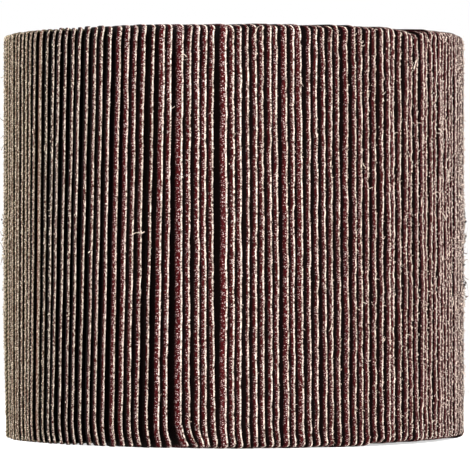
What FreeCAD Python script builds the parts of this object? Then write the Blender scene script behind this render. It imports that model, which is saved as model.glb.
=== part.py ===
import FreeCAD, Part
import math
import os

import Sketcher

# Flap wheel for finishing wide surfaces. Flaps of coated abrasive cloth stand side by side round a
# cast resin core, and a keyed nylon sleeve in the core takes the spindle.
# The wheel's axis is Z. The wheel stands on its lower end, with the origin on the axis at z = 0.
# Lengths are in millimetres and angles in degrees.

SIZES = {
    "wheel_dia": 115.0,
    "wheel_width": 100.0,
    "pack_count": 43,
    "flaps_per_pack": 4,
    "flap_thickness": 0.85,
    "glue_gap": 0.063,
    "flap_sweep": 16.2,
    "notch_depth": 4.5,
    "notch_height": 6.0,
    "resin_recess": 0.6,
    "bore_dia": 19.0,
    "sleeve_wall": 4.5,
    "bore_chamfer": 0.8,
    "key_count": 4,
    "key_width": 3.4,
    "key_depth": 2.2,
}

# Sizes that follow from the ones above. The flap roots stand shoulder to shoulder round the seat,
# with a film of resin between neighbours, so their number and thickness give the seat's radius.
DERIVED = {
    "pack_total": "round(Sizes.pack_count)",
    "pack_size": "round(Sizes.flaps_per_pack)",
    "flap_total": "Derived.pack_total * Derived.pack_size",
    "flap_pitch": "360 / Derived.flap_total",
    "rim_radius": "Sizes.wheel_dia / 2",
    "seat_radius": "Derived.flap_total * (Sizes.flap_thickness + Sizes.glue_gap) / (2 * pi)",
    "flange_radius": "Derived.seat_radius + Sizes.notch_depth",
    "bore_radius": "Sizes.bore_dia / 2",
    "mouth_radius": "Derived.bore_radius + Sizes.bore_chamfer",
    "sleeve_radius": "Derived.bore_radius + Sizes.sleeve_wall",
    "lower_end": "0",
    "lower_chamfer": "Sizes.bore_chamfer",
    "lower_resin": "Sizes.resin_recess",
    "lower_notch": "Sizes.notch_height",
    "upper_notch": "Sizes.wheel_width - Sizes.notch_height",
    "upper_resin": "Sizes.wheel_width - Sizes.resin_recess",
    "upper_chamfer": "Sizes.wheel_width - Sizes.bore_chamfer",
    "upper_end": "Sizes.wheel_width",
    "key_floor": "Derived.bore_radius + Sizes.key_depth",
    "key_start": "Derived.bore_radius - Sizes.key_depth",
    "key_left": "-Sizes.key_width / 2",
    "key_right": "Sizes.key_width / 2",
}

# A flap's curve is drawn as this many straight stretches.
STRETCH_COUNT = 4

# How a sketch numbers a line's two ends, and its own origin.
START_INDEX = 1
END_INDEX = 2
ORIGIN_POINT = (-1, START_INDEX)


def make_sheet(doc):
    """Put the driving sizes into a spreadsheet, one named cell each."""
    sheet = doc.addObject("Spreadsheet::Sheet", "Sizes")
    for row, (alias, size) in enumerate(SIZES.items(), start=1):
        sheet.set(f"A{row}", alias)
        sheet.set(f"B{row}", str(size))
        sheet.setAlias(f"B{row}", alias)
    doc.recompute()
    return sheet


def make_derived(doc):
    """Put the sizes that follow from the sheet into a set of variables."""
    derived = doc.addObject("App::VarSet", "Derived")
    for name, expression in DERIVED.items():
        derived.addProperty("App::PropertyFloat", name, "Derived", "")
        derived.setExpression(name, expression)
    doc.recompute()
    return derived


def make_body(doc, name):
    """Start the body of one piece, or of one group of like pieces."""
    body = doc.addObject("PartDesign::Body", name)
    body.Label = name
    body.AllowCompound = True
    return body


def origin_feature(body, role):
    """Find one of the body's own origin planes or axes."""
    for feature in body.Origin.OriginFeatures:
        if feature.Role == role:
            return feature
    raise RuntimeError(f"{body.Label} has no {role}")


def make_sketch(body, name, plane_role):
    """Open a sketch on one of the body's own origin planes."""
    sketch = body.newObject("Sketcher::SketchObject", name)
    sketch.AttachmentSupport = [(origin_feature(body, plane_role), "")]
    sketch.MapMode = "FlatFace"
    return sketch


def bind(sketch, name, expression, *constraint):
    """Add a constraint with a value and tie that value to an expression."""
    index = sketch.addConstraint(Sketcher.Constraint(*constraint))
    sketch.renameConstraint(index, name)
    sketch.setExpression(f"Constraints.{name}", expression)


def join_chain(sketch, lines):
    """Join the end of each line to the start of the next."""
    for first, second in zip(lines, lines[1:]):
        sketch.addConstraint(Sketcher.Constraint("Coincident", first, END_INDEX, second, START_INDEX))


def draw_outline(sketch, derived, corners):
    """Draw a closed outline with straight sides. Each corner is a pair of names of derived sizes."""
    points = [FreeCAD.Vector(getattr(derived, across), getattr(derived, up), 0) for across, up in corners]
    lines = []
    for start, end in zip(points, points[1:] + points[:1]):
        lines.append(sketch.addGeometry(Part.LineSegment(start, end), False))
    join_chain(sketch, lines + lines[:1])
    for line, point, (across, up) in zip(lines, points, corners):
        ends = (*ORIGIN_POINT, line, START_INDEX)
        bind(sketch, f"across_{line}", f"Derived.{across}", "DistanceX", *ends, point.x)
        bind(sketch, f"up_{line}", f"Derived.{up}", "DistanceY", *ends, point.y)


def flap_centreline(sheet, derived):
    """Points along a flap's middle, from its root to its tip. It leaves the seat radially and is
    swept over more and more towards the rim."""
    points = []
    for step in range(STRETCH_COUNT + 1):
        share = step / STRETCH_COUNT
        radius = derived.seat_radius + (derived.rim_radius - derived.seat_radius) * share
        angle = math.radians(sheet.flap_sweep * share ** 2)
        points.append(FreeCAD.Vector(radius * math.cos(angle), radius * math.sin(angle), 0))
    return points


def draw_side(sketch, centre_lines, points, half, side):
    """Draw one side of a flap, parallel to its centreline and half a thickness away."""
    first = points[1] - points[0]
    offset = FreeCAD.Vector(-first.y, first.x, 0).normalize() * half * side
    lines = []
    for start, end in zip(points, points[1:]):
        lines.append(sketch.addGeometry(Part.LineSegment(start + offset, end + offset), False))
    join_chain(sketch, lines)
    for number, (line, centre) in enumerate(zip(lines, centre_lines)):
        name = f"{'back' if side > 0 else 'grain'}_{number}"
        sketch.addConstraint(Sketcher.Constraint("Parallel", line, centre))
        bind(sketch, name, "Sizes.flap_thickness / 2", "Distance", centre, START_INDEX, line, half)
    return lines


def draw_flap(sketch, sheet, derived):
    """Draw the section of one flap: a strip of even thickness that follows the swept centreline,
    cut along the seat at its root and along the rim at its tip."""
    points = flap_centreline(sheet, derived)
    centre_lines = []
    for start, end in zip(points, points[1:]):
        centre_lines.append(sketch.addGeometry(Part.LineSegment(start, end), True))
    join_chain(sketch, centre_lines)

    spokes = []
    for step, point in enumerate(points):
        share = f"{step} / {STRETCH_COUNT}"
        spoke = sketch.addGeometry(Part.LineSegment(FreeCAD.Vector(0, 0, 0), point), True)
        spokes.append(spoke)
        held = (centre_lines[step], START_INDEX) if step < STRETCH_COUNT else (centre_lines[-1], END_INDEX)
        sketch.addConstraint(Sketcher.Constraint("Coincident", *ORIGIN_POINT, spoke, START_INDEX))
        sketch.addConstraint(Sketcher.Constraint("Coincident", spoke, END_INDEX, *held))
        radius = f"Derived.seat_radius + (Derived.rim_radius - Derived.seat_radius) * {share}"
        bind(sketch, f"radius_{step}", radius, "Distance", spoke, point.Length)
        if step == 0:
            sketch.addConstraint(Sketcher.Constraint("Horizontal", spoke))
        else:
            angle = math.atan2(point.y, point.x)
            bind(sketch, f"angle_{step}", f"Sizes.flap_sweep * ({share}) ^ 2", "Angle", spoke, angle)

    half = sheet.flap_thickness / 2
    back = draw_side(sketch, centre_lines, points, half, 1)
    grain = draw_side(sketch, centre_lines, points, half, -1)
    close_end(sketch, (grain[0], START_INDEX), (back[0], START_INDEX), spokes[0])
    close_end(sketch, (back[-1], END_INDEX), (grain[-1], END_INDEX), spokes[-1])


def close_end(sketch, first, second, spoke):
    """Close one end of a flap with a line through the spoke's end and square to the spoke."""
    line = Part.LineSegment(sketch.getPoint(*first), sketch.getPoint(*second))
    end = sketch.addGeometry(line, False)
    sketch.addConstraint(Sketcher.Constraint("Coincident", *first, end, START_INDEX))
    sketch.addConstraint(Sketcher.Constraint("Coincident", *second, end, END_INDEX))
    sketch.addConstraint(Sketcher.Constraint("Perpendicular", end, spoke))
    sketch.addConstraint(Sketcher.Constraint("PointOnObject", spoke, END_INDEX, end))


def polar_pattern(body, name, count, angle):
    """Repeat about the wheel's axis."""
    pattern = body.newObject("PartDesign::PolarPattern", name)
    pattern.Axis = (origin_feature(body, "Z_Axis"), [""])
    pattern.setExpression("Occurrences", count)
    pattern.setExpression("Angle", angle)
    body.Tip = pattern
    return pattern


def revolve(body, sketch, name):
    """Turn a sketch once round the wheel's axis."""
    turned = body.newObject("PartDesign::Revolution", name)
    turned.Profile = sketch
    turned.ReferenceAxis = (sketch, ["V_Axis"])
    turned.Angle = 360.0
    body.Tip = turned
    return turned


def pocket_through(doc, body, sketch, name):
    """Cut a sketch right through the solid, to both sides of its plane."""
    pocket = body.newObject("PartDesign::Pocket", name)
    pocket.Profile = sketch
    pocket.Type = "ThroughAll"
    pocket.SideType = "Symmetric"
    body.Tip = pocket
    doc.recompute()
    if pocket.Shape.Volume > pocket.BaseFeature.Shape.Volume - 1:
        raise RuntimeError(f"{pocket.Name} cuts nothing")
    return pocket


def make_flap_pack(doc, sheet, derived, number):
    """A few neighbouring flaps. Both ends of each root are notched for the core's flanges."""
    body = make_body(doc, f"flap_pack_{number:02d}")
    section = make_sketch(body, f"FlapSection{number:02d}", "XY_Plane")
    draw_flap(section, sheet, derived)
    flap = body.newObject("PartDesign::Pad", f"Flap{number:02d}")
    flap.Profile = section
    flap.setExpression("Length", "Sizes.wheel_width")
    doc.recompute()

    notches = make_sketch(body, f"NotchSection{number:02d}", "XZ_Plane")
    for outer, inner in (("lower_end", "lower_notch"), ("upper_notch", "upper_end")):
        draw_outline(notches, derived, [("sleeve_radius", outer), ("flange_radius", outer),
                                        ("flange_radius", inner), ("sleeve_radius", inner)])
    pocket_through(doc, body, notches, f"Notches{number:02d}")

    pattern = polar_pattern(body, f"Flaps{number:02d}", "Derived.pack_size",
                            "Derived.flap_pitch * (Derived.pack_size - 1)")
    pattern.TransformMode = "Whole shape"
    turn = f"{number - 1} * Derived.flap_pitch * Derived.pack_size"
    body.setExpression("Placement.Rotation.Angle", turn)
    doc.recompute()
    return body


def make_resin_core(doc, derived):
    """The cast core: a spool whose two flanges fill the notches and lock the flap roots."""
    body = make_body(doc, "resin_core")
    section = make_sketch(body, "CoreSection", "XZ_Plane")
    draw_outline(section, derived, [
        ("sleeve_radius", "lower_resin"),
        ("flange_radius", "lower_resin"),
        ("flange_radius", "lower_notch"),
        ("seat_radius", "lower_notch"),
        ("seat_radius", "upper_notch"),
        ("flange_radius", "upper_notch"),
        ("flange_radius", "upper_resin"),
        ("sleeve_radius", "upper_resin"),
    ])
    revolve(body, section, "Core")
    return body


def make_hub_sleeve(doc, derived):
    """The moulded sleeve: a tube with chamfered mouths and keyways along its bore."""
    body = make_body(doc, "hub_sleeve")
    section = make_sketch(body, "SleeveSection", "XZ_Plane")
    draw_outline(section, derived, [
        ("mouth_radius", "lower_end"),
        ("sleeve_radius", "lower_end"),
        ("sleeve_radius", "upper_end"),
        ("mouth_radius", "upper_end"),
        ("bore_radius", "upper_chamfer"),
        ("bore_radius", "lower_chamfer"),
    ])
    revolve(body, section, "Sleeve")
    doc.recompute()

    keyway = make_sketch(body, "KeywaySection", "XY_Plane")
    draw_outline(keyway, derived, [
        ("key_start", "key_left"),
        ("key_floor", "key_left"),
        ("key_floor", "key_right"),
        ("key_start", "key_right"),
    ])
    pocket = pocket_through(doc, body, keyway, "Keyway")
    pattern = polar_pattern(body, "Keyways", "Sizes.key_count", "360")
    pattern.Originals = [pocket]
    return body


def check_document(doc, bodies):
    """Stop if any object failed, or any piece came out empty or broken."""
    for item in doc.Objects:
        if "Invalid" in item.State or "Error" in item.State:
            raise RuntimeError(f"{item.Label} failed: {item.State}")
    for body in bodies:
        if body.Shape.isNull() or not body.Shape.isValid():
            raise RuntimeError(f"{body.Label} has no valid shape")


def main():
    doc = FreeCAD.newDocument("FlapWheel")
    sheet = make_sheet(doc)
    derived = make_derived(doc)
    packs = int(derived.pack_total)
    bodies = [make_flap_pack(doc, sheet, derived, number + 1) for number in range(packs)]
    bodies.append(make_resin_core(doc, derived))
    bodies.append(make_hub_sleeve(doc, derived))
    doc.recompute()
    check_document(doc, bodies)

    os.makedirs("parts", exist_ok=True)
    for body in bodies:
        body.Shape.exportStep(f"parts/{body.Label}.step")
        print(body.Label, len(body.Shape.Solids), "solids", round(body.Shape.Volume), "mm3")


main()
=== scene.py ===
"""Flap wheel: swept flaps of coated abrasive cloth round a cast resin core with a moulded sleeve.

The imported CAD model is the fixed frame. Each pack of four flaps is rebuilt here with its cloth, its
grain coat and its frayed edges, and stands where its CAD node stands.
"""

import math

import bpy
import numpy as np
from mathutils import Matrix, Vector


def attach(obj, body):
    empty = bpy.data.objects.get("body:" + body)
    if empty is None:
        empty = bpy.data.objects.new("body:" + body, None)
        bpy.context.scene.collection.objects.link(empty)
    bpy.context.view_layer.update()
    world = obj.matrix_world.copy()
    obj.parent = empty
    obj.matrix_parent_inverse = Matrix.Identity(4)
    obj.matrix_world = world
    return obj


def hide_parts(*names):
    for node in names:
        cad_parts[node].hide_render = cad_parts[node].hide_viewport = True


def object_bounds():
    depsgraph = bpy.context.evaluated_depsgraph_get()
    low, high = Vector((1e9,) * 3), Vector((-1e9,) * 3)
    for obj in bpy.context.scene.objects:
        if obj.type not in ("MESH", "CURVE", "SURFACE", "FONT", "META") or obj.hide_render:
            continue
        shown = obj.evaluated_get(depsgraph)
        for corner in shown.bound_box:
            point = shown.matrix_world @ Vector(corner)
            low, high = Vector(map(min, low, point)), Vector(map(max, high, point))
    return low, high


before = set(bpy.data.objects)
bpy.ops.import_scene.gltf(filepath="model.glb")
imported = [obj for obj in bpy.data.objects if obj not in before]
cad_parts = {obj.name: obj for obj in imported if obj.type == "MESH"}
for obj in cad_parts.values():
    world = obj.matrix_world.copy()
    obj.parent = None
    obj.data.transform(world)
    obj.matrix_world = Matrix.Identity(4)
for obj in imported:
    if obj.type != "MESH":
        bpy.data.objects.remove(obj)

CAD_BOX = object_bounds()
MM = 0.001
UP = np.array([0.0, 0.0, 1.0])

bl_info = {
    "name": "Flap wheel",
    "version": (1, 0, 0),
    "blender": (4, 5, 0),
    "location": "3D View > Sidebar > Flap wheel",
    "description": "Dresses the CAD model of a flap wheel with cloth, grain, frayed yarn and cast resin",
    "category": "Object",
}

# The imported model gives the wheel's outline.
RIM_RADIUS = (CAD_BOX[1].x - CAD_BOX[0].x) / 2
WHEEL_WIDTH = CAD_BOX[1].z - CAD_BOX[0].z
PACKS = sorted(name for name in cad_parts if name.startswith("flap_pack_"))

SEED = 115


def linear(hex_code):
    """An sRGB colour written in hex, as the linear colour that Blender works with."""
    channels = [int(hex_code[i:i + 2], 16) / 255 for i in (1, 3, 5)]
    return tuple(c / 12.92 if c <= 0.04045 else ((c + 0.055) / 1.055) ** 2.4 for c in channels)


class FlapWheelSizes(bpy.types.PropertyGroup):
    """Sizes of the flaps, as they are cut and bent."""

    flaps_per_pack: bpy.props.IntProperty(
        name="Flaps per pack", description="Flaps that one CAD node holds", default=4, min=1)
    rim_radius: bpy.props.FloatProperty(
        name="Rim radius", description="From the axis to the flap tips", default=RIM_RADIUS, unit="LENGTH")
    seat_radius: bpy.props.FloatProperty(
        name="Seat radius", description="From the axis to the flap roots",
        default=24.99 * MM, unit="LENGTH")
    width: bpy.props.FloatProperty(
        name="Width", description="Length of a flap along the axis", default=WHEEL_WIDTH, unit="LENGTH")
    cloth: bpy.props.FloatProperty(
        name="Cloth", description="Thickness of the woven backing", default=0.22 * MM, unit="LENGTH")
    coat: bpy.props.FloatProperty(
        name="Coat", description="Thickness of the grain and its resin", default=0.60 * MM, unit="LENGTH")
    sweep: bpy.props.FloatProperty(
        name="Sweep", description="How far a tip is swept over from its root",
        default=math.radians(16.2), subtype="ANGLE")
    notch_depth: bpy.props.FloatProperty(
        name="Notch depth", description="Root notch, from the seat outwards",
        default=4.5 * MM, unit="LENGTH")
    notch_height: bpy.props.FloatProperty(
        name="Notch height", description="Root notch, from the flap's end", default=6 * MM, unit="LENGTH")
    corner: bpy.props.FloatProperty(
        name="Tip corner", description="Rounding of a flap's worn tip corners",
        default=1.1 * MM, unit="LENGTH")


class FlapWheelWear(bpy.types.PropertyGroup):
    """How unevenly the flaps stand and how far their edges are frayed."""

    jitter: bpy.props.FloatProperty(
        name="Uneven spacing", description="Most that a tip stands off its place round the rim",
        default=0.20 * MM, unit="LENGTH")
    waviness: bpy.props.FloatProperty(
        name="Waviness", description="Side-to-side wander of a tip along the axis",
        default=0.05 * MM, unit="LENGTH")
    tufts: bpy.props.IntProperty(
        name="Tufts", description="Yarn ends along the cut edge of one flap", default=215, min=1)
    fibres: bpy.props.IntProperty(
        name="Fibres", description="Fine loose fibres along the cut edge of one flap", default=24, min=1)
    yarns: bpy.props.IntProperty(
        name="Stray yarns", description="Pulled yarns on the whole wheel", default=120, min=1)


class FlapWheelColours(bpy.types.PropertyGroup):
    """Colours of the finishes, as they look in white light."""

    cloth_light: bpy.props.FloatVectorProperty(
        name="Cloth, raised yarn", description="Crown of a backing yarn", subtype="COLOR",
        default=linear("#f2e5c0"))
    # Painted shade: the sunk parts of the weave get this dark colour in place of the shade between the
    # yarns.
    cloth_painted_shade: bpy.props.FloatVectorProperty(
        name="Cloth, sunk yarn", description="Between the backing yarns", subtype="COLOR",
        default=linear("#453a29"))
    edge_light: bpy.props.FloatVectorProperty(
        name="Frayed edge", description="Clean cut cotton", subtype="COLOR", default=linear("#fbeade"))
    edge_dark: bpy.props.FloatVectorProperty(
        name="Frayed edge, stained", description="Cut cotton with resin and dust", subtype="COLOR",
        default=linear("#6b4d3c"))
    edge_aged: bpy.props.FloatVectorProperty(
        name="Frayed edge, dusty", description="Cut cotton grey with dust, on flaps that are less worn",
        subtype="COLOR", default=linear("#e0d4b9"))
    size: bpy.props.FloatVectorProperty(
        name="Size", description="Brown binder between the cut yarns", subtype="COLOR",
        default=linear("#4a342a"))
    resin: bpy.props.FloatVectorProperty(
        name="Grain coat", description="Resin between the grains", subtype="COLOR",
        default=linear("#521619"))
    # Painted highlight: the grains' sparkle is given as this pale colour.
    grain: bpy.props.FloatVectorProperty(
        name="Grain sparkle", description="Broken faces of the grains", subtype="COLOR",
        default=linear("#f0d4d0"))


def select_only(*objects):
    """Deselect everything and select these objects, the first of them active."""
    deselect()
    for item in objects:
        item.select_set(True)
    bpy.context.view_layer.objects.active = objects[0]


def deselect():
    """Leave nothing selected, so that the next operator acts on what it adds alone."""
    bpy.ops.object.select_all(action="DESELECT")


def edit_faces(item, wanted):
    """Enter edit mode with just the faces selected whose middle passes the test."""
    select_only(item)
    mesh = item.data
    mesh.vertices.foreach_set("select", [False] * len(mesh.vertices))
    mesh.edges.foreach_set("select", [False] * len(mesh.edges))
    mesh.polygons.foreach_set("select", [bool(wanted(face)) for face in mesh.polygons])
    bpy.ops.object.mode_set(mode="EDIT")
    bpy.ops.mesh.select_mode(type="FACE")


def leave_edit():
    """Point all faces outwards and go back to object mode."""
    bpy.ops.mesh.select_all(action="SELECT")
    bpy.ops.mesh.normals_make_consistent(inside=False)
    bpy.ops.object.mode_set(mode="OBJECT")


def read_points(mesh):
    """A mesh's vertices as an array of rows."""
    flat = np.empty(len(mesh.vertices) * 3, np.float32)
    mesh.vertices.foreach_get("co", flat)
    return flat.reshape(-1, 3).astype(float)


def write_points(mesh, points):
    """Move a mesh's vertices to these rows."""
    mesh.vertices.foreach_set("co", points.astype(np.float32).ravel())
    mesh.update()


def unit(rows):
    """Directions of the same ways, with length 1."""
    return rows / np.linalg.norm(rows, axis=-1, keepdims=True)


def round_from(outwards):
    """Directions round the rim, to the right of these outward ones as the front is seen."""
    return np.stack([-outwards[:, 1], outwards[:, 0], np.zeros(len(outwards))], axis=1)


def store_cut_place(mesh, places, edge_depth, age, sparkle_thinning=0.0):
    """Keep where on the roll of cloth each vertex was cut, how far it counts as lying from the flap's outer
    edge for the painted gap shade, how dusty the flap's cotton is and how far its painted grain sparkle is
    thinned, for the patterns to follow."""
    layer = mesh.attributes.new("cut_place", "FLOAT_VECTOR", "POINT")
    layer.data.foreach_set("vector", places.astype(np.float32).ravel())
    for name, value in (("edge_depth", edge_depth), ("age", age), ("sparkle_thinning", sparkle_thinning)):
        layer = mesh.attributes.new(name, "FLOAT", "POINT")
        layer.data.foreach_set("value", np.full(len(places), value, np.float32))


# Where the flaps stand. Positions round the rim are angles in degrees from the front, growing to
# the right. Shifts are millimetres along the rim, and positive to the right.

WIDE_GAP = {"centre": -18.8, "width": 1.35, "reach": 9.0}
SECOND_GAP = {"centre": -8.8, "width": 0.9, "reach": 5.0}
LEFT_SIDE_GAP = {"centre": -74.8, "width": 3.2, "reach": 8.0}
SMALL_GAPS = (
    (-56.0, 1.1), (-33.4, 0.4), (-31.4, 0.3), (-23.0, 0.4), (8.4, 0.5), (12.6, 0.6), (25.2, 0.3))
TIGHT_PAIRS = ((-53.9, -0.7), (-51.8, -0.4), (-25.1, -0.4), (-2.0, -0.3))
LEFT_SIDE_PAIRS = (
    (-72.75, -0.7), (-70.66, 1.3), (-68.56, -0.7), (-66.47, 0.8), (-64.38, -0.7), (-62.28, 0.6))
SMALL_REACH = 3.0
PAIR_REACH = 2.5

# How the flaps differ round the rim. A zone is its middle and its reach in the same degrees, and
# what it adds in its middle, from where it fades smoothly to both sides.

CROWDING = ((-14, 30, 4.2), (-92, 34, -3.0), (42, 24, 0.4))  # degrees that the tips are pushed round
LEAN = ((15, 25, 0.65), (-43, 27, -2.7))  # mm, the lower end against the upper end
LOWER_CURL = ((-35, 38, 0.85), (-16, 4, 1.5))  # mm
UPPER_CURL = ((-50, 40, 0.65),)  # mm
CURL_SHARE = ((70, 45, -0.8),)  # of the lower curl
WAVE_SHARE = ((66, 26, 1.8),)  # of the waviness
LOWER_CORNER = ((-80, 40, -0.8),)  # of the rounding of a worn corner
UPPER_CORNER = ((90, 35, 0.7),)
WORN_DOWN = ((-90, 14, 1.1 * MM),)  # in the lower part of a flap
LOWER_END = ((-88, 30, -0.5),)  # share of the uneven cut that shows
UPPER_END = ((49, 4.5, 1.1 * MM),)  # how much shorter the flaps are cut
CUT_SHORT_BELOW = {"from": 33, "to": 80, "by": 0.55 * MM}
TUFT_SPREAD = ((-58, 24, 2.3),)  # across the cloth's thickness
TUFT_SCATTER = ((70, 26, 2.4),)  # off the cut edge
STRAYED_TUFTS = ((76, 32, 0.75),)  # share of them that lie on the grain coat's edge
FINE_TUFTS_RIGHT = ((62, 32, -0.35),)
FINE_TUFTS_MIDDLE = ((20, 20, -0.2),)
CLUMPED = ((86, 9, 1.0), (-88, 8, 0.8))
LONG_FIBRES = ((68, 32, 1.0),)
SHADED_YARNS = ((86, 8, 0.5 * MM), (-87, 8, 0.5 * MM))  # how deep in the painted shade they count as lying
SHADE_START_LEFT = ((-48, 20, -0.38),)  # of the depth that stays free of the painted gap shade
SHADE_START_RIGHT = ((12, 18, -0.15), (66, 30, 0.75))
SHADE_START_CLOTH = ((-94, 10, 4),)
DUSTY_COTTON = ((30, 30, 0.13), (88, 8, 0.15), (-75, 42, 0.62))  # the age of the cotton
# How far the painted grain sparkle is thinned, on the right.
THINNED_SPARKLE = ((70, 32, 1.0),)

LOWER_CURL_HEIGHT = 6.5 * MM
UPPER_CURL_HEIGHT = 4 * MM
WORN_DOWN_HEIGHT = 25 * MM
RAGGED_POINTS = 400
RAGGED_DEPTH = 0.11 * MM
# From this share of the way out, the tip's cut face turns until it stands along the radius.
TIP_FROM = 0.93
TIP_SHARE = 0.07


def degrees_from(origin, angle):
    """How far an angle is turned from another round the rim, from -180 to 180."""
    return (angle - origin + 180) % 360 - 180


def with_zones(base, angle, zones):
    """A value with what these zones add to it at this angle round the rim."""
    for middle, reach, amount in zones:
        base += amount * math.exp(-(degrees_from(middle, angle) / reach) ** 2)
    return base


def flap_count(sizes):
    """Flaps on the whole wheel."""
    return len(PACKS) * sizes.flaps_per_pack


def gap_beside(sizes, angle, side):
    """How much wider than usual the gap beside a flap is, in millimetres. Side -1 is its left."""
    large = ((gap["centre"], gap["width"]) for gap in (WIDE_GAP, SECOND_GAP, LEFT_SIDE_GAP))
    gaps = (*SMALL_GAPS, *TIGHT_PAIRS, *large)
    pitch = 360 / flap_count(sizes)
    return sum(width for place, width in gaps if 0 < degrees_from(angle, place) * side < pitch)


def opened_at(angle, centre, width, reach):
    """Push flaps apart on both sides of a gap, less and less away from it."""
    away = degrees_from(centre, angle)
    return math.copysign(width / 2, away) * math.exp(-abs(away) / reach)


def tip_shift(sizes, angle, height, habit):
    """Shift of one flap's tip along the rim at these heights, in millimetres."""
    share = height / sizes.width
    shift = math.radians(with_zones(0, angle, CROWDING)) * sizes.rim_radius / MM + habit["jitter"]
    for centre, width in SMALL_GAPS + TIGHT_PAIRS:
        shift += opened_at(angle, centre, width, SMALL_REACH)
    # The large gaps aren't as wide at every height: the first and the last close upwards.
    shift = shift + opened_at(angle, **WIDE_GAP) * (1.25 - 0.5 * share)
    shift += opened_at(angle, **SECOND_GAP) * (0.3 + 1.2 * np.sin(2.4 * share))
    shift += opened_at(angle, **LEFT_SIDE_GAP) * (1.6 - 1.3 * share)
    for centre, width in LEFT_SIDE_PAIRS:
        shift += opened_at(angle, centre, width, PAIR_REACH) * np.clip(1.9 - 1.9 * share, 0, 1)
    shift += (with_zones(0, angle, LEAN) + habit["drift"]) * (0.5 - share)
    lower = np.clip(1 - height / LOWER_CURL_HEIGHT, 0, 1) ** 2 * with_zones(1, angle, CURL_SHARE)
    upper = np.clip(1 - (sizes.width - height) / UPPER_CURL_HEIGHT, 0, 1) ** 2
    shift += lower * (with_zones(0.25, angle, LOWER_CURL) + habit["curl"])
    shift += upper * (with_zones(0, angle, UPPER_CURL) + habit["curl"])
    waviness = habit["waviness"] * with_zones(1, angle, WAVE_SHARE)
    for length, phase in habit["waves"]:
        shift += waviness * np.sin(height / length + phase)
    return shift


def flap_habit(wear, rng):
    """The random part of how one flap stands."""
    return {
        "jitter": rng.uniform(-1, 1) * wear.jitter / MM,
        "drift": rng.uniform(-0.25, 0.25),
        "curl": rng.uniform(-0.15, 0.2),
        "waviness": wear.waviness / MM,
        "waves": [(rng.uniform(*length) * MM, rng.uniform(0, 6.3)) for length in ((3, 5), (9, 16))],
        "short": rng.uniform(0, 0.25) * MM,
        "ends_in": rng.uniform(0, 0.4, 2) * MM,
        "ragged": rng.uniform(-1, 1, RAGGED_POINTS),
    }


def worn_back(sizes, angle, height, habit):
    """How far a tip is worn back from the rim at these heights."""
    from_end = np.minimum(height, sizes.width - height)
    lower_corner = with_zones(1, angle, LOWER_CORNER)
    upper_corner = with_zones(1, angle, UPPER_CORNER)
    corner = sizes.corner * np.where(height < sizes.width / 2, lower_corner, upper_corner)
    inside = np.clip(1 - from_end / corner, 0, 1)
    rounding = corner * (1 - np.sqrt(np.clip(1 - inside ** 2, 0, 1)))
    ragged = np.interp(height, np.linspace(0, sizes.width, RAGGED_POINTS), habit["ragged"])
    worn = habit["short"] + rounding - RAGGED_DEPTH * ragged
    return worn + with_zones(0, angle, WORN_DOWN) * np.clip(1 - height / WORN_DOWN_HEIGHT, 0, 1)


def flap_places(sizes, number, places, habit):
    """Bend the flat cut of one flap round the wheel.

    places holds rows of share from root to tip, height, and distance from the middle of the
    thickness towards the cloth.
    """
    share, height, offset = places.T
    pitch = 2 * math.pi / flap_count(sizes)
    tip_angle = math.degrees(number * pitch + sizes.sweep) + 90
    shift = tip_shift(sizes, tip_angle, height, habit) * MM
    sweep = sizes.sweep + shift / sizes.rim_radius
    span = sizes.rim_radius - sizes.seat_radius
    skew_share = np.clip((share - TIP_FROM) / TIP_SHARE, 0, None)
    share = share * (1 - worn_back(sizes, tip_angle, height, habit) / span)
    radius = sizes.seat_radius + span * share
    angle = number * pitch + sweep * share ** 2
    forward = radius * 2 * sweep * share
    length = np.hypot(span, forward)
    along_out, along_round = span / length, forward / length
    skew = offset * along_round / along_out * skew_share
    out = radius + skew * along_out - offset * along_round
    round_shift = skew * along_round + offset * along_out
    x = out * np.cos(angle) - round_shift * np.sin(angle)
    y = out * np.sin(angle) + round_shift * np.cos(angle)
    return np.stack([x, y, height + end_shift(sizes, tip_angle, share, height, habit)], axis=1)


def end_shift(sizes, angle, share, height, habit):
    """Move a flap's two ends a little along the axis, as no two are cut alike."""
    middle = height / sizes.width
    front = degrees_from(0, angle)
    cut_short = CUT_SHORT_BELOW["by"] if CUT_SHORT_BELOW["from"] < front < CUT_SHORT_BELOW["to"] else 0.0
    lower = habit["ends_in"][0] * with_zones(0.5, front, LOWER_END) + cut_short
    upper = with_zones(habit["ends_in"][1], front, UPPER_END)
    return (lower * (1 - middle) - upper * middle) * share


def grid_lines(sizes):
    """Where the flap's mesh lines run: closer together near the tip and near both ends."""
    notch = sizes.notch_depth / (sizes.rim_radius - sizes.seat_radius)
    across = np.array([0, notch, 0.30, 0.46, 0.61, 0.74, 0.85, TIP_FROM, 0.985, 1])
    ends = np.array([0, 0.25, 0.6, 1.1, 1.8, 3.2, 4.6, 6.0]) * MM
    middle = np.linspace(sizes.notch_height, sizes.width - sizes.notch_height, 47)[1:-1]
    along = np.concatenate([ends, middle, sizes.width - ends[::-1]])
    return across, along


# The order of a flap's materials.
CLOTH_SIDE = 0
CUT_EDGE = 1
GRAIN_SIDE = 2


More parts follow.
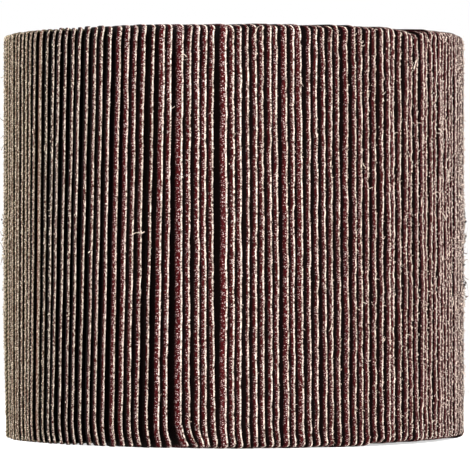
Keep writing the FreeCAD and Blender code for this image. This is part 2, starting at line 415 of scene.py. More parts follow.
def cut_flap(sizes, materials):
    """Model one flap as it is cut from the roll, lying flat, with its root notches punched.

    x is the share of the way from root to tip, y the height and z the distance from the middle of
    the thickness towards the cloth.
    """
    across, along = grid_lines(sizes)
    deselect()
    bpy.ops.mesh.primitive_grid_add(
        x_subdivisions=len(across) - 1, y_subdivisions=len(along) - 1, size=2, location=(0, 0, 0))
    flap = bpy.context.object
    points = read_points(flap.data)
    column = np.rint((points[:, 0] + 1) / 2 * (len(across) - 1)).astype(int)
    row = np.rint((points[:, 1] + 1) / 2 * (len(along) - 1)).astype(int)
    half = (sizes.cloth + sizes.coat) / 2
    write_points(flap.data, np.stack([across[column], along[row], np.full(len(points), -half)], axis=1))

    def in_notch(face):
        near_end = not sizes.notch_height < face.center.y < sizes.width - sizes.notch_height
        return face.center.x < across[1] and near_end

    edit_faces(flap, in_notch)
    bpy.ops.mesh.delete(type="FACE")
    bpy.ops.mesh.select_all(action="SELECT")
    bpy.ops.mesh.extrude_region_move(TRANSFORM_OT_translate={"value": (0, 0, sizes.coat)})
    bpy.ops.mesh.extrude_region_move(TRANSFORM_OT_translate={"value": (0, 0, sizes.cloth)})
    leave_edit()
    for material in materials:
        flap.data.materials.append(material)
    for face in flap.data.polygons:
        if face.center.z > half - sizes.cloth * 0.1:
            face.material_index = CLOTH_SIDE
        elif face.center.z > sizes.coat - half:
            face.material_index = CUT_EDGE
        else:
            face.material_index = GRAIN_SIDE
    return flap


def model_tuft(wear, material):
    """Model one frayed yarn end, a small pointed bead, and repeat it in a row."""
    deselect()
    bpy.ops.mesh.primitive_cone_add(
        vertices=4, radius1=1, radius2=0, depth=1, end_fill_type="NOTHING", location=(0, 0, 0.5))
    tuft = bpy.context.object
    bpy.ops.object.transform_apply(location=True, rotation=True, scale=True)
    bpy.ops.object.mode_set(mode="EDIT")
    bpy.ops.mesh.select_mode(type="EDGE")
    bpy.ops.mesh.select_all(action="DESELECT")
    bpy.ops.mesh.select_non_manifold()
    bpy.ops.mesh.extrude_region_move(TRANSFORM_OT_translate={"value": (0, 0, -1)})
    bpy.ops.mesh.merge(type="CENTER")
    leave_edit()
    return row_of(tuft, wear.tufts, material)


def model_thread(sides, rings, count, material):
    """Model one thin closed thread along Z from 0 to 1 with rings of corners, and repeat it in a row."""
    deselect()
    bpy.ops.mesh.primitive_circle_add(vertices=sides, radius=1, fill_type="TRIFAN", location=(0, 0, 0))
    thread = bpy.context.object
    bpy.ops.object.mode_set(mode="EDIT")
    bpy.ops.mesh.select_all(action="SELECT")
    for _ in range(rings):
        bpy.ops.mesh.extrude_region_move(TRANSFORM_OT_translate={"value": (0, 0, 1 / rings)})
    leave_edit()
    return row_of(thread, count, material)


ROW_STEP = 10


def row_of(item, count, material):
    """Repeat a shape in a row along X as one mesh, for a copy of the row to be laid out at once."""
    item.data.materials.append(material)
    array = item.modifiers.new("repeat", "ARRAY")
    array.use_relative_offset = False
    array.use_constant_offset = True
    array.constant_offset_displace = (ROW_STEP, 0, 0)
    array.count = count
    select_only(item)
    bpy.ops.object.modifier_apply(modifier=array.name)
    bpy.ops.object.shade_smooth()
    return item


def copy_of(master, name):
    """A copy of a master shape with its own mesh."""
    item = bpy.data.objects.new(name, master.data.copy())
    bpy.context.scene.collection.objects.link(item)
    return item


def local_rows(master, count):
    """The corners of each repeat in a row, all about the same origin."""
    points = read_points(master.data)
    per_item = len(points) // count
    blocks = points.reshape(count, per_item, 3)
    blocks[:, :, 0] -= ROW_STEP * np.arange(count)[:, None]
    return blocks


def edge_frame(sizes, number, share, height, offset, habit):
    """Points on a flap's tip edge, with the directions outwards and round the rim at each."""
    places = np.stack([np.full(len(height), share), height, np.broadcast_to(offset, len(height))], axis=1)
    points = flap_places(sizes, number, places, habit)
    outwards = unit(points * np.array([1, 1, 0]))
    return points, outwards, round_from(outwards)


def front_angle(sizes, number):
    """Where a flap's tip stands round the rim, in degrees from the front."""
    pitch = 360 / flap_count(sizes)
    return degrees_from(0, number * pitch + math.degrees(sizes.sweep) + 90)


CLUMP_HEIGHT = 47 * MM
CLUMP_REACH = 15 * MM
TUFT_MARGIN = 0.4 * MM


def clumps(front, height):
    """How far pulled cotton stands off the rim at these heights, in millimetres: it clumps at the sides."""
    wander = np.sin(height / (1.3 * MM) + 1.7 * front) + np.sin(height / (3.1 * MM) + 0.4 * front)
    middle = np.exp(-((height - CLUMP_HEIGHT) / CLUMP_REACH) ** 2)
    return with_zones(0, front, CLUMPED) * (0.12 + middle) * np.clip(wander - 0.4, 0, None) * 0.5


def tuft_sizes(front, frayed, clumped, rng):
    """How wide, deep and tall each yarn end is: finer on the right, and larger in a clump."""
    count = len(clumped)
    wide = rng.uniform(0.05, 0.13, count) * MM * (1 + 0.35 * (frayed - 1))
    wide = wide * with_zones(1, front, FINE_TUFTS_RIGHT) * with_zones(1, front, FINE_TUFTS_MIDDLE)
    wide = wide * (1 + 3.0 * clumped)
    deep = rng.uniform(0.08, 0.22, count) * MM * (1 + 1.5 * clumped)
    tall = rng.uniform(0.13, 0.26, count) * MM * (1 + 1.5 * clumped)
    return wide[:, None, None], deep[:, None, None], tall[:, None, None]


def place_tufts(row, sizes, wear, number, habit, rng):
    """Set a row of yarn ends along the cut cloth edge of one flap, each of its own size.

    It gives back how deep in the painted shade each corner of the row counts as lying: clumped ends count
    as deeper and are darkened.
    """
    count = wear.tufts
    blocks = local_rows(row, count)
    steps = (np.arange(count) + 0.5 + rng.uniform(-0.25, 0.25, count)) / count
    height = TUFT_MARGIN + steps * (sizes.width - 2 * TUFT_MARGIN)
    front = front_angle(sizes, number)
    frayed = with_zones(1, front, TUFT_SPREAD)
    wild = with_zones(1, front, TUFT_SCATTER)
    thickness = sizes.coat + sizes.cloth
    middle = thickness / 2 - sizes.cloth * rng.uniform(0.15, 0.75, count) * frayed
    strayed = rng.random(count) < with_zones(0, front, STRAYED_TUFTS)
    middle = np.where(strayed, rng.uniform(-0.5, 0.5, count) * thickness, middle)
    points, outwards, onwards = edge_frame(sizes, number, 1, height, middle, habit)
    clumped = clumps(front, height)
    points += outwards * (rng.uniform(-0.12, 0.12, count) * np.where(strayed, 1, wild))[:, None] * MM
    points += outwards * (clumped * rng.uniform(0.0, 1, count))[:, None] * MM
    points += onwards * rng.normal(0, 0.06, count)[:, None] * MM * wild
    wide, deep, tall = tuft_sizes(front, frayed, clumped, rng)
    lean = rng.uniform(-0.5, 0.5, count)[:, None]
    upwards = UP + lean * onwards + rng.uniform(-0.3, 0.3, count)[:, None] * outwards
    placed = (
        points[:, None, :]
        + blocks[:, :, 0:1] * onwards[:, None, :] * wide
        + blocks[:, :, 1:2] * outwards[:, None, :] * deep
        + blocks[:, :, 2:3] * upwards[:, None, :] * tall
    )
    write_points(row.data, placed.reshape(-1, 3))
    # Painted shade: clumped ends count as lying deep, so they are darkened.
    return np.repeat(clumped * rng.uniform(0.2, 1.6, count) * MM, blocks.shape[1])


# How far a thread turns from its first way over its length, in radians, and how unsteadily it runs.
FIBRE_CURL = (0.6, 4.0)
FIBRE_WANDER = 0.3
YARN_CURL = (0.5, 4.5)
YARN_WANDER = 0.22


def curl_thread(blocks, starts, first_way, rng, length, radius, curl, wander):
    """Lay each thread of a row along its own curling line, thinner towards its free end."""
    count = len(blocks)
    rings = len(np.unique(np.round(blocks[0, :, 2], 5)))
    steps = rings - 1
    way = unit(first_way)
    side = unit(np.cross(way, rng.normal(size=(count, 3))))
    spine = np.empty((count, rings, 3))
    ways = np.empty((count, rings, 3))
    spine[:, 0] = starts
    turn = rng.uniform(curl[0], curl[1], count)[:, None] / steps
    for ring in range(rings):
        ways[:, ring] = way
        if ring < steps:
            spine[:, ring + 1] = spine[:, ring] + way * length[:, None] / steps
        way = unit(way * np.cos(turn) + side * np.sin(turn) + rng.normal(size=(count, 3)) * wander)
        side = unit(side - way * np.sum(side * way, axis=1)[:, None])
    across = unit(np.cross(ways, np.array([0.31, 0.17, 0.94])))
    over = np.cross(ways, across)
    ring_of = np.rint(blocks[:, :, 2] * steps).astype(int)
    which = np.arange(count)[:, None]
    thin = radius[:, None] * (1 - 0.55 * ring_of / steps)
    return (
        spine[which, ring_of]
        + across[which, ring_of] * (blocks[:, :, 0] * thin)[:, :, None]
        + over[which, ring_of] * (blocks[:, :, 1] * thin)[:, :, None]
    )


def place_fibres(row, sizes, wear, number, habit, rng):
    """Stand fine fibres off the cut cloth edge of one flap."""
    count = wear.fibres
    blocks = local_rows(row, count)
    height = rng.uniform(0.5 * MM, sizes.width - 0.5 * MM, count)
    middle = (sizes.coat + sizes.cloth) / 2 - sizes.cloth * rng.uniform(0.1, 0.9, count)
    points, outwards, onwards = edge_frame(sizes, number, 0.999, height, middle, habit)
    way = outwards * 0.35 + onwards * rng.normal(0, 0.7, count)[:, None]
    way += UP * rng.normal(0, 0.9, count)[:, None]
    right = with_zones(0, front_angle(sizes, number), LONG_FIBRES)
    length = (0.25 + 0.3 * right + rng.uniform(0, 1, count) ** 2.5 * (0.7 + 1.3 * right)) * MM
    radius = rng.uniform(0.06, 0.12, count) * MM
    placed = curl_thread(blocks, points, way, rng, length, radius, FIBRE_CURL, FIBRE_WANDER)
    placed = press_to_rim(placed, sizes.rim_radius + 0.1 * MM, 0.5 * MM)
    placed[:, :, 2] = np.clip(placed[:, :, 2], 0.03 * MM, sizes.width)
    write_points(row.data, placed.reshape(-1, 3))


# Where pulled yarns lie on the front: degrees from the front, height in mm, length in mm.
SEEN_YARNS = (
    (-21.5, 51, 5), (-37, 46, 3), (5.5, 96, 6), (49, 90, 6.5), (52, 59, 4.5), (57, 60, 5),
    (64, 54, 5.5), (-11, 92, 5), (-15.5, 79, 2.5), (-86, 79, 5), (-84, 75, 5), (-88, 77, 4),
    (-86, 48, 5), (-84, 44, 4), (-88, 45, 4), (84, 46, 5), (88, 41, 5), (86, 43, 6),
    (82, 38, 4), (80, 70, 5), (75, 88, 4), (60, 76, 4), (70, 33, 5), (33, 66, 3),
    (24, 30, 3), (86, 39, 6), (89, 43, 6), (87, 36, 5), (85, 41, 6), (83, 43, 5),
    (88, 39, 5), (86, 48, 5), (85, 52, 4), (88, 57, 4), (-87, 46, 4), (-88, 50, 4),
    (-87, 73, 4), (66, 66, 4.5), (72, 52, 4), (76, 60, 4), (68, 80, 3.5), (78, 24, 4),
    (62, 44, 3),
)
# How dusty their cotton is.
YARN_AGE = 0.3


def lay_yarns(row, sizes, wear):
    """Lay pulled yarns over the flap edges: those that the photograph shows, and others on the back."""
    count = wear.yarns
    rng = np.random.default_rng(SEED)
    blocks = local_rows(row, count)
    seen = np.array(SEEN_YARNS)[:count]
    spread = rng.uniform((92, 4, 1.5), (268, 96, 6.0), (count - len(seen), 3))
    spots = np.concatenate([seen, spread])
    angle = np.radians(spots[:, 0] - 90)
    outwards = np.stack([np.cos(angle), np.sin(angle), np.zeros(count)], axis=1)
    onwards = round_from(outwards)
    starts = outwards * (sizes.rim_radius - 0.15 * MM)
    starts[:, 2] = spots[:, 1] * MM
    way = onwards * rng.normal(0, 1, count)[:, None] + outwards * 0.12
    way += UP * rng.normal(0, 0.8, count)[:, None]
    radius = rng.uniform(0.09, 0.17, count) * MM
    placed = curl_thread(blocks, starts, way, rng, spots[:, 2] * MM, radius, YARN_CURL, YARN_WANDER)
    placed = press_to_rim(placed, sizes.rim_radius - 0.05 * MM, 1.2 * MM)
    placed[:, :, 2] = np.clip(placed[:, :, 2], 0.1 * MM, sizes.width)
    write_points(row.data, placed.reshape(-1, 3))
    # Painted shade: yarns at the sides are darkened.
    yarn_shade = [with_zones(0, spot, SHADED_YARNS) for spot in spots[:, 0]]
    store_cut_place(row.data, read_points(row.data), np.repeat(yarn_shade, blocks.shape[1]), YARN_AGE)


def press_to_rim(points, rim_radius, reach):
    """Hold points between the rim and a little above it, along the radius."""
    radius = np.hypot(points[:, :, 0], points[:, :, 1])
    held = rim_radius + reach * np.tanh((radius - rim_radius) / reach)
    share = (np.clip(held, rim_radius - 0.2 * MM, None) / radius)[:, :, None]
    return points * np.concatenate([share, share, np.ones_like(share)], axis=2)


def grain_shade_start(sizes, front):
    """How far down the grain side of a flap stays free of the painted gap shade, compared with a usual
    flap.
    """
    beside_gap = max(0.6, 1 + 1.5 * gap_beside(sizes, front, -1))
    return beside_gap * with_zones(1, front, SHADE_START_LEFT) * with_zones(1, front, SHADE_START_RIGHT)


def cloth_shade_start(sizes, front):
    """How far down the cloth side of a flap stays free of the painted gap shade, compared with a usual
    flap.
    """
    in_gap = 3.5 * max(0, gap_beside(sizes, front, 1) - 1.5)
    return with_zones(1 + in_gap, front, SHADE_START_CLOTH)


def flap_age(front, rng):
    """How dusty the cotton of a flap is, from 0 to 1: most on the left, least near the middle."""
    return min(1.0, with_zones(0, front, DUSTY_COTTON) + rng.uniform(0, 0.2))


# In millimetres: a flap from root to tip, and from one flap to the next on the roll of cloth.
FLAP_LENGTH = 37
ROLL_STEP = 41
# The painted gap shade reaches the coat's cut edge too, and deeper away from the cloth.
SHADE_INTO_COAT = 0.65


def build_flap(masters, sizes, wear, number):
    """One flap with its yarn ends and fibres, as three objects that are joined later."""
    rng = np.random.default_rng(SEED * 1000 + number)
    habit = flap_habit(wear, rng)
    flap = copy_of(masters["flap"], f"flap_{number:03d}")
    places = read_points(flap.data)
    write_points(flap.data, flap_places(sizes, number, places, habit))
    tufts = copy_of(masters["tufts"], f"tufts_{number:03d}")
    shaded = place_tufts(tufts, sizes, wear, number, habit, rng)
    fibres = copy_of(masters["fibres"], f"fibres_{number:03d}")
    place_fibres(fibres, sizes, wear, number, habit, rng)

    on_roll = np.array([number * ROLL_STEP * MM, 0, 0])
    from_tip = (1 - places[:, 0]) * FLAP_LENGTH * MM
    from_end = np.minimum(places[:, 1], sizes.width - places[:, 1])
    into_coat = np.clip((sizes.coat - sizes.cloth) / 2 - places[:, 2], 0, None)
    front = front_angle(sizes, number)
    # Painted shade: how deep each corner counts as lying in the gap between flaps.
    depth = np.minimum(from_tip, from_end) + SHADE_INTO_COAT * into_coat
    depth /= np.where(places[:, 2] < 0, grain_shade_start(sizes, front), cloth_shade_start(sizes, front))
    age = flap_age(front, rng)
    on_cloth = places * np.array([FLAP_LENGTH * MM, 1, 1]) + on_roll
    store_cut_place(flap.data, on_cloth, depth, age, with_zones(0, front, THINNED_SPARKLE))
    # The tufts' depth in the painted shade; the fibres get none.
    for extra, dust in ((tufts, shaded), (fibres, 0.0)):
        store_cut_place(extra.data, read_points(extra.data) + on_roll, dust, age)
    return [flap, tufts, fibres]


def add_node(tree, kind, settings=None, inputs=None):
    """Add a node, give it its settings, and fill its inputs with values or links."""
    node = tree.nodes.new(kind)
    for name, value in (settings or {}).items():
        setattr(node, name, value)
    for name, value in (inputs or {}).items():
        if isinstance(value, bpy.types.NodeSocket):
            tree.links.new(value, node.inputs[name])
        else:
            node.inputs[name].default_value = value
    return node


def new_material(name):
    """A material, and its node tree with nothing in it yet."""
    material = bpy.data.materials.new(name)
    material.use_nodes = True
    material.node_tree.nodes.clear()
    return material, material.node_tree


def rgba(colour):
    """A colour with full opacity, as a node's socket takes it."""
    return (*colour, 1.0)


def painted_gap_shade(tree, colour, clean_to, dark_from):
    """Darken a colour with painted shade away from the flap's worn outer edge, to near black deep in the
    gap between flaps.
    """
    depth = add_node(tree, "ShaderNodeAttribute", {"attribute_name": "edge_depth"})
    share = add_node(
        tree, "ShaderNodeMapRange", {"interpolation_type": "SMOOTHSTEP"},
        {"Value": depth.outputs["Fac"], "From Min": clean_to, "From Max": dark_from})
    # Painted shade: the colour goes towards near black as the gap deepens.
    dusty = add_node(
        tree, "ShaderNodeMix", {"data_type": "RGBA"},
        {0: share.outputs["Result"], 6: colour, 7: rgba(linear("#0c0605"))})
    return dusty.outputs[2]


def stained_cotton(tree, colours, stain, pattern, clean_to, stained_from):
    """Cream cotton, dulled by its flap's age, that turns to the stain's colour where a pattern is high."""
    age = add_node(tree, "ShaderNodeAttribute", {"attribute_name": "age"})
    dulled = add_node(
        tree, "ShaderNodeMix", {"data_type": "RGBA"},
        {0: age.outputs["Fac"], 6: rgba(colours.edge_light), 7: rgba(colours.edge_aged)})
    share = add_node(
        tree, "ShaderNodeMapRange", {}, {"Value": pattern, "From Min": clean_to, "From Max": stained_from})
    tone = add_node(
        tree, "ShaderNodeMix", {"data_type": "RGBA"},
        {0: share.outputs["Result"], 6: dulled.outputs[2], 7: rgba(stain)})
    return tone.outputs[2]


def finish_surface(tree, finish, relief, raised=True):
    """End a material with a relief from its pattern and a shader with its colour, roughness and gloss."""
    bump = add_node(tree, "ShaderNodeBump", {"invert": not raised}, relief)
    shader = add_node(tree, "ShaderNodeBsdfPrincipled", {}, {**finish, "Normal": bump.outputs["Normal"]})
    add_node(tree, "ShaderNodeOutputMaterial", {}, {"Surface": shader.outputs["BSDF"]})


# A wave texture of scale 1 repeats over this length.
WAVE_BAND = math.pi / 10


def woven_backing(colours):
    """Cotton drill, woven, sized and dyed: a flat khaki cloth whose slanting ribs catch the light, with
    painted shade in the sunk weave and deep between the flaps.
    """
    material, tree = new_material("woven_cotton_backing")
    place = add_node(tree, "ShaderNodeAttribute", {"attribute_name": "cut_place"}).outputs["Vector"]
    rib_pitch = 0.62 * MM
    weft_pitch = 0.8 * MM
    ribs = add_node(
        tree, "ShaderNodeTexWave", {"wave_type": "BANDS", "bands_direction": "X"},
        {"Vector": place, "Scale": WAVE_BAND / rib_pitch, "Distortion": 1.6,
         "Detail": 1.0, "Detail Scale": 1.2})
    slant = add_node(
        tree, "ShaderNodeMapping", {},
        {"Vector": place, "Rotation": (0, 0, math.radians(38))})
    twill = add_node(
        tree, "ShaderNodeTexWave", {"wave_type": "BANDS", "bands_direction": "Y"},
        {"Vector": slant.outputs["Vector"], "Scale": WAVE_BAND / weft_pitch, "Distortion": 2.0,
         "Detail": 2.0, "Detail Scale": 1.5})
    woven = add_node(
        tree, "ShaderNodeMath", {"operation": "MULTIPLY"},
        {0: ribs.outputs["Fac"], 1: twill.outputs["Fac"]})
    raised = add_node(
        tree, "ShaderNodeMath", {"operation": "POWER"}, {0: woven.outputs["Value"], 1: 0.85})
    # The weave, with painted shade where the yarns sink.
    tone = add_node(
        tree, "ShaderNodeMix", {"data_type": "RGBA"},
        {0: raised.outputs["Value"], 6: rgba(colours.cloth_painted_shade), 7: rgba(colours.cloth_light)})
    stain = add_node(
        tree, "ShaderNodeTexNoise", {},
        {"Vector": place, "Scale": 1 / (14 * MM), "Detail": 4.0, "Roughness": 0.6})
    stain_share = add_node(
        tree, "ShaderNodeMapRange", {},
        {"Value": stain.outputs["Fac"], "From Min": 0.5, "From Max": 0.75, "To Max": 0.35})
    stained = add_node(
        tree, "ShaderNodeMix", {"data_type": "RGBA", "blend_type": "MULTIPLY"},
        {0: stain_share.outputs["Result"], 6: tone.outputs[2], 7: rgba(linear("#c98f5c"))})
    # Painted shade: the cloth turns near black deep between the flaps.
    dusty = painted_gap_shade(tree, stained.outputs[2], 0.05 * MM, 0.55 * MM)
    finish_surface(
        tree, {"Base Color": dusty, "Roughness": 0.9, "Specular IOR Level": 0.0},
        {"Height": woven.outputs["Value"], "Strength": 0.9, "Distance": 0.15 * MM})
    return material


def frayed_cotton(colours):
    """Cut cotton yarn, undyed inside: cream, matt and uneven, stained here and there by the resin, with
    painted shade deep between the flaps and in clumps.
    """
    material, tree = new_material("frayed_cotton_yarn")
    place = add_node(tree, "ShaderNodeAttribute", {"attribute_name": "cut_place"})
    fleck = add_node(
        tree, "ShaderNodeTexNoise", {},
        {"Vector": place.outputs["Vector"], "Scale": 1 / (0.55 * MM), "Detail": 3.0, "Roughness": 0.7})
    tone = stained_cotton(tree, colours, colours.edge_dark, fleck.outputs["Fac"], 0.47, 0.66)
    # Painted shade: the yarn turns near black deep between the flaps and in clumps.
    shaded = painted_gap_shade(tree, tone, 0.05 * MM, 0.9 * MM)
    finish_surface(
        tree, {"Base Color": shaded, "Roughness": 0.95, "Specular IOR Level": 0.05},
        {"Height": fleck.outputs["Fac"], "Strength": 0.8, "Distance": 0.2 * MM})
    return material


def cut_backing_edge(colours):
    """The backing cut through: cream yarn ends with the brown size that binds them."""
    material, tree = new_material("cut_backing_edge")
    place = add_node(tree, "ShaderNodeAttribute", {"attribute_name": "cut_place"})
    ends = add_node(
        tree, "ShaderNodeTexNoise", {},
        {"Vector": place.outputs["Vector"], "Scale": 1 / (0.55 * MM), "Detail": 2.0, "Roughness": 0.6})
    age = add_node(tree, "ShaderNodeAttribute", {"attribute_name": "age"})
    browner = add_node(
        tree, "ShaderNodeMath", {"operation": "MULTIPLY_ADD"},
        {0: age.outputs["Fac"], 1: 0.16, 2: ends.outputs["Fac"]})
    tone = stained_cotton(tree, colours, colours.size, browner.outputs["Value"], 0.42, 0.66)
    finish_surface(
        tree, {"Base Color": tone, "Roughness": 0.95, "Specular IOR Level": 0.0},
        {"Height": ends.outputs["Fac"], "Strength": 1.0, "Distance": 0.2 * MM})
    return material


def painted_grain_sparkle(tree, grains, chance):
    """1 on the grains' broken faces, painted pale as their sparkle highlights, and 0 between them. They are
    scarcer down in the gap, where painted shade falls.
    """
    depth = add_node(tree, "ShaderNodeAttribute", {"attribute_name": "edge_depth"})
    scarcer = add_node(
        tree, "ShaderNodeMath", {"operation": "MULTIPLY_ADD"},
        {0: depth.outputs["Fac"], 1: -0.5 / MM, 2: chance.outputs["Red"]})
    # Fewer painted sparkle highlights where the flap's sparkle is thinned.
    sparkle_thinning = add_node(tree, "ShaderNodeAttribute", {"attribute_name": "sparkle_thinning"})
    scarcer = add_node(
        tree, "ShaderNodeMath", {"operation": "MULTIPLY_ADD"},
        {0: sparkle_thinning.outputs["Fac"], 1: -0.2, 2: scarcer.outputs["Value"]})
    broken = add_node(
        tree, "ShaderNodeMapRange", {},
        {"Value": scarcer.outputs["Value"], "From Min": 0.57, "From Max": 0.74})
    crown = add_node(
        tree, "ShaderNodeMapRange", {},
        {"Value": grains.outputs["Distance"], "From Min": 0.34, "From Max": 0.54,
         "To Min": 1.0, "To Max": 0.0})
    face = add_node(
        tree, "ShaderNodeMath", {"operation": "MULTIPLY"},
        {0: broken.outputs["Result"], 1: crown.outputs["Result"]})
    return face.outputs["Value"]


def grain_coat(colours):
    """Aluminium oxide grain in phenolic resin, electrostatically coated: maroon and rough, with
    pale broken grain faces painted as sparkle highlights, and painted shade deep between the flaps."""
    material, tree = new_material("aluminium_oxide_grain_coat")
    place = add_node(tree, "ShaderNodeAttribute", {"attribute_name": "cut_place"})
    grain_width = 0.22 * MM
    turned = add_node(
        tree, "ShaderNodeMapping", {},
        {"Vector": place.outputs["Vector"], "Rotation": (0.5, 0.7, 0.3)})
    grains = add_node(
        tree, "ShaderNodeTexVoronoi", {"feature": "F1"},
        {"Vector": turned.outputs["Vector"], "Scale": 1 / grain_width})
    chance = add_node(tree, "ShaderNodeSeparateColor", {}, {"Color": grains.outputs["Color"]})
    shade = add_node(
        tree, "ShaderNodeMapRange", {},
        {"Value": chance.outputs["Green"], "To Min": 0.45, "To Max": 1.25})
    resin = add_node(
        tree, "ShaderNodeMix", {"data_type": "RGBA", "blend_type": "MULTIPLY"},
        {0: 1.0, 6: rgba(colours.resin), 7: shade.outputs["Result"]})
    # Pale specks painted on the grains as sparkle highlights.
    tone = add_node(
        tree, "ShaderNodeMix", {"data_type": "RGBA"},
        {0: painted_grain_sparkle(tree, grains, chance), 6: resin.outputs[2], 7: rgba(colours.grain)})
    age = add_node(tree, "ShaderNodeAttribute", {"attribute_name": "age"})
    fluff_share = add_node(
        tree, "ShaderNodeMapRange", {},
        {"Value": age.outputs["Fac"], "From Min": 0.50, "From Max": 0.78, "To Max": 0.85})
    fluffy = add_node(
        tree, "ShaderNodeMix", {"data_type": "RGBA"},
        {0: fluff_share.outputs["Result"], 6: tone.outputs[2], 7: rgba(linear("#96785f"))})
    # Painted shade: the coat turns near black deep between the flaps.
    dusty = painted_gap_shade(tree, fluffy.outputs[2], 0.03 * MM, 0.44 * MM)
    finish_surface(
        tree, {"Base Color": dusty, "Roughness": 0.5, "Specular IOR Level": 0.02},
        {"Height": grains.outputs["Distance"], "Strength": 1.0, "Distance": 0.25 * MM}, raised=False)
    return material


def cast_epoxy():
    """Filled epoxy, cast round the flap roots: dark amber-brown, satin, faintly clouded."""
    material, tree = new_material("cast_epoxy_core")
    place = add_node(tree, "ShaderNodeTexCoord").outputs["Object"]
    cloud = add_node(
        tree, "ShaderNodeTexNoise", {},
        {"Vector": place, "Scale": 1 / (9 * MM), "Detail": 5.0, "Roughness": 0.6})
    tone = add_node(
        tree, "ShaderNodeMix", {"data_type": "RGBA"},
        {0: cloud.outputs["Fac"], 6: rgba(linear("#2a190f")), 7: rgba(linear("#4c3120"))})
    ripple = add_node(
        tree, "ShaderNodeTexNoise", {},
        {"Vector": place, "Scale": 1 / (3 * MM), "Detail": 2.0})
    shine = add_node(
        tree, "ShaderNodeMapRange", {},
        {"Value": cloud.outputs["Fac"], "To Min": 0.50, "To Max": 0.68})
    finish_surface(
        tree,
        {"Base Color": tone.outputs[2], "Roughness": shine.outputs["Result"], "Specular IOR Level": 0.12},
        {"Height": ripple.outputs["Fac"], "Strength": 0.25, "Distance": 0.3 * MM})
    return material


def moulded_nylon():
    """Glass-filled nylon, injection moulded: near black and satin, with a fine grained skin."""
    material, tree = new_material("moulded_nylon_sleeve")
    place = add_node(tree, "ShaderNodeTexCoord").outputs["Object"]
    skin = add_node(
        tree, "ShaderNodeTexNoise", {},
        {"Vector": place, "Scale": 1 / (0.5 * MM), "Detail": 3.0})
    flow = add_node(
        tree, "ShaderNodeTexNoise", {},
        {"Vector": place, "Scale": 1 / (6 * MM), "Detail": 3.0})
    tone = add_node(
        tree, "ShaderNodeMix", {"data_type": "RGBA"},
        {0: flow.outputs["Fac"], 6: rgba(linear("#17181a")), 7: rgba(linear("#2b2c2f"))})
    shine = add_node(
        tree, "ShaderNodeMapRange", {}, {"Value": skin.outputs["Fac"], "To Min": 0.5, "To Max": 0.65})
    finish_surface(
        tree,
        {"Base Color": tone.outputs[2], "Roughness": shine.outputs["Result"], "Specular IOR Level": 0.25},
        {"Height": skin.outputs["Fac"], "Strength": 0.3, "Distance": 0.05 * MM})
    return material


def seen_directly(tree):
    """1 where the camera looks, also by way of gloss or glass, and 0 where light reaches the wheel."""
    rays = add_node(tree, "ShaderNodeLightPath")
    seen = add_node(
        tree, "ShaderNodeMath", {"operation": "MAXIMUM"},
        {0: rays.outputs["Is Camera Ray"], 1: rays.outputs["Is Glossy Ray"]})
    seen = add_node(
        tree, "ShaderNodeMath", {"operation": "MAXIMUM"},
        {0: seen.outputs["Value"], 1: rays.outputs["Is Transmission Ray"]})
    return seen.outputs["Value"]


def white_floor():
    """Matt white paper sweep. It shows white to the camera and keeps the wheel's soft shadow."""
    material, tree = new_material("white_paper_sweep")
    seen = seen_directly(tree)
    lift = add_node(tree, "ShaderNodeMath", {"operation": "MULTIPLY"}, {0: seen, 1: 0.60})
    paper = add_node(tree, "ShaderNodeBsdfDiffuse", {}, {"Color": rgba(linear("#f4f4f4"))})
    glow = add_node(
        tree, "ShaderNodeEmission", {}, {"Color": (1, 1, 1, 1), "Strength": lift.outputs["Value"]})
    near = add_node(
        tree, "ShaderNodeAddShader", {}, {0: paper.outputs["BSDF"], 1: glow.outputs["Emission"]})
    place = add_node(tree, "ShaderNodeTexCoord")
    distance = add_node(
        tree, "ShaderNodeVectorMath", {"operation": "LENGTH"}, {0: place.outputs["Object"]})
    far = add_node(
        tree, "ShaderNodeMapRange", {"interpolation_type": "SMOOTHSTEP"},
        {"Value": distance.outputs["Value"], "From Min": 0.09, "From Max": 0.26})
    far_seen = add_node(
        tree, "ShaderNodeMath", {"operation": "MULTIPLY"}, {0: far.outputs["Result"], 1: seen})
    white = add_node(tree, "ShaderNodeEmission", {}, {"Color": (1, 1, 1, 1), "Strength": 1.0})
    sweep = add_node(
        tree, "ShaderNodeMixShader", {},
        {0: far_seen.outputs["Value"], 1: near.outputs["Shader"], 2: white.outputs["Emission"]})
    add_node(tree, "ShaderNodeOutputMaterial", {}, {"Surface": sweep.outputs["Shader"]})
    return material


def light_world():
    """White behind the wheel for the camera and for reflections, and a plain grey that lights it."""
    world = bpy.data.worlds.new("studio")
    bpy.context.scene.world = world
    world.use_nodes = True
    tree = world.node_tree
    tree.nodes.clear()
    level = add_node(tree, "ShaderNodeMapRange", {}, {"Value": seen_directly(tree), "To Min": 0.18})
    sky = add_node(
        tree, "ShaderNodeBackground", {}, {"Color": (1, 1, 1, 1), "Strength": level.outputs["Result"]})
    add_node(tree, "ShaderNodeOutputWorld", {}, {"Surface": sky.outputs["Background"]})


# Each softbox: its name, azimuth and elevation in degrees, and power in watts. Azimuth 0 is the front,
# growing to the right. All stand as far away and are as large.
SOFTBOXES = (
    ("softbox_key", 0, 30, 19.0),
    ("softbox_back_left", -116, 35, 22.0),
    ("softbox_back_right", 114, 35, 21.0),
)
SOFTBOX_DISTANCE = 1.3
SOFTBOX_SIZE = 0.9
CAMERA_PLACE = (0, -0.920, 0.050)
FLOOR_SIZE = 12
FLOOR_LEVEL = -0.02 * MM


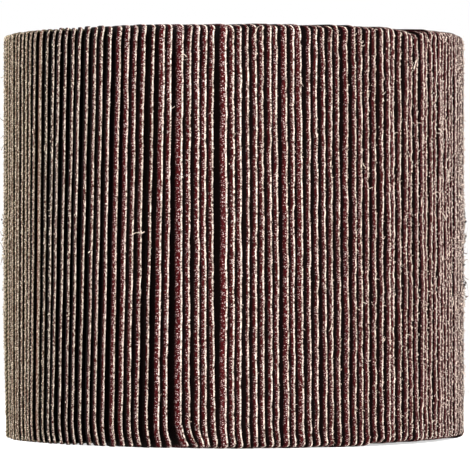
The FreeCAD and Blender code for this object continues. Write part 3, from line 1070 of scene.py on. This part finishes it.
def add_softbox(name, azimuth, elevation, power):
    """A square softbox that looks at the middle of the wheel."""
    turn = math.radians(azimuth)
    rise = math.radians(elevation)
    away = Vector((math.sin(turn) * math.cos(rise), -math.cos(turn) * math.cos(rise), math.sin(rise)))
    middle = Vector((0, 0, WHEEL_WIDTH / 2))
    deselect()
    bpy.ops.object.light_add(type="AREA", location=away * SOFTBOX_DISTANCE + middle)
    box = bpy.context.object
    box.name = name
    box.rotation_euler = away.to_track_quat("Z", "Y").to_euler()
    box.data.size = SOFTBOX_SIZE
    box.data.energy = power


def add_camera():
    """The photograph's view: square to the wheel's side, level with its middle, from about 0.9 m."""
    deselect()
    bpy.ops.object.camera_add(location=CAMERA_PLACE, rotation=(math.radians(90), 0, 0))
    camera = bpy.context.object
    camera.name = "camera"
    camera.data.lens = 281.6
    camera.data.sensor_width = 36
    camera.data.shift_x = 0.0028
    camera.data.shift_y = 0.002
    bpy.context.scene.camera = camera


class FLAPWHEEL_OT_stage(bpy.types.Operator):
    """Set up the pale floor, the softboxes, the white surround and the camera"""

    bl_idname = "flapwheel.stage"
    bl_label = "Stage and camera"

    def execute(self, context):
        context.scene.view_settings.view_transform = "Standard"
        add_camera()
        light_world()
        for softbox in SOFTBOXES:
            add_softbox(*softbox)
        deselect()
        bpy.ops.mesh.primitive_plane_add(size=FLOOR_SIZE, location=(0, 0, FLOOR_LEVEL))
        floor = context.object
        floor.name = "floor"
        floor.data.materials.append(white_floor())
        return {"FINISHED"}


class FLAPWHEEL_OT_flap_packs(bpy.types.Operator):
    """Cut the flaps from coated cloth, bend them round the core and fray their edges"""

    bl_idname = "flapwheel.flap_packs"
    bl_label = "Flap packs"

    def execute(self, context):
        sizes, wear, colours = settings_of(context)
        yarn = frayed_cotton(colours)
        layers = (woven_backing(colours), cut_backing_edge(colours), grain_coat(colours))
        masters = {
            "flap": cut_flap(sizes, layers),
            "tufts": model_tuft(wear, yarn),
            "fibres": model_thread(3, 4, wear.fibres, yarn),
        }
        for order, node in enumerate(PACKS):
            parts = []
            for place in range(sizes.flaps_per_pack):
                parts += build_flap(masters, sizes, wear, order * sizes.flaps_per_pack + place)
            select_only(*parts)
            bpy.ops.object.join()
            pack = context.object
            pack.name = f"coated_flaps_{order + 1:02d}"
            bpy.ops.object.shade_smooth_by_angle(angle=math.radians(40))
            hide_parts(node)
            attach(pack, "root")
        for master in masters.values():
            bpy.data.objects.remove(master)
        return {"FINISHED"}


class FLAPWHEEL_OT_stray_yarns(bpy.types.Operator):
    """Pull single yarns out of the cloth and lay them on the flap edges"""

    bl_idname = "flapwheel.stray_yarns"
    bl_label = "Stray yarns"

    def execute(self, context):
        sizes, wear, colours = settings_of(context)
        yarns = model_thread(5, 12, wear.yarns, frayed_cotton(colours))
        yarns.name = "stray_yarns"
        lay_yarns(yarns, sizes, wear)
        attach(yarns, "root")
        return {"FINISHED"}


class FLAPWHEEL_OT_core(bpy.types.Operator):
    """Give the cast core and the moulded sleeve their finishes"""

    bl_idname = "flapwheel.core"
    bl_label = "Core and sleeve"

    def execute(self, context):
        for node, finish in (("resin_core", cast_epoxy()), ("hub_sleeve", moulded_nylon())):
            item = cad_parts[node]
            item.data.materials.clear()
            item.data.materials.append(finish)
        return {"FINISHED"}


class FLAPWHEEL_PT_panel(bpy.types.Panel):
    """Sizes, wear and colours of the wheel, and the steps that build it"""

    bl_idname = "FLAPWHEEL_PT_panel"
    bl_label = "Flap wheel"
    bl_space_type = "VIEW_3D"
    bl_region_type = "UI"
    bl_category = "Flap wheel"

    def draw(self, context):
        for group in settings_of(context):
            box = self.layout.box()
            for name in group.__annotations__:
                box.prop(group, name)
        for step in STEPS:
            self.layout.operator(step.bl_idname)


def settings_of(context):
    """The wheel's sizes, wear and colours."""
    scene = context.scene
    return scene.flapwheel_sizes, scene.flapwheel_wear, scene.flapwheel_colours


STEPS = (FLAPWHEEL_OT_stage, FLAPWHEEL_OT_flap_packs, FLAPWHEEL_OT_stray_yarns, FLAPWHEEL_OT_core)
GROUPS = {
    "flapwheel_sizes": FlapWheelSizes,
    "flapwheel_wear": FlapWheelWear,
    "flapwheel_colours": FlapWheelColours,
}


def register():
    """Make the settings, the operators and the panel known to Blender."""
    for cls in (*GROUPS.values(), *STEPS, FLAPWHEEL_PT_panel):
        bpy.utils.register_class(cls)
    for name, group in GROUPS.items():
        setattr(bpy.types.Scene, name, bpy.props.PointerProperty(type=group))


def unregister():
    """Take them away again."""
    for name in GROUPS:
        delattr(bpy.types.Scene, name)
    for cls in (FLAPWHEEL_PT_panel, *reversed(STEPS), *GROUPS.values()):
        bpy.utils.unregister_class(cls)


def main():
    """Dress the wheel, from the stage to the core."""
    register()
    bpy.ops.flapwheel.stage()
    bpy.ops.flapwheel.flap_packs()
    bpy.ops.flapwheel.stray_yarns()
    bpy.ops.flapwheel.core()


if __name__ == "__main__":
    main()
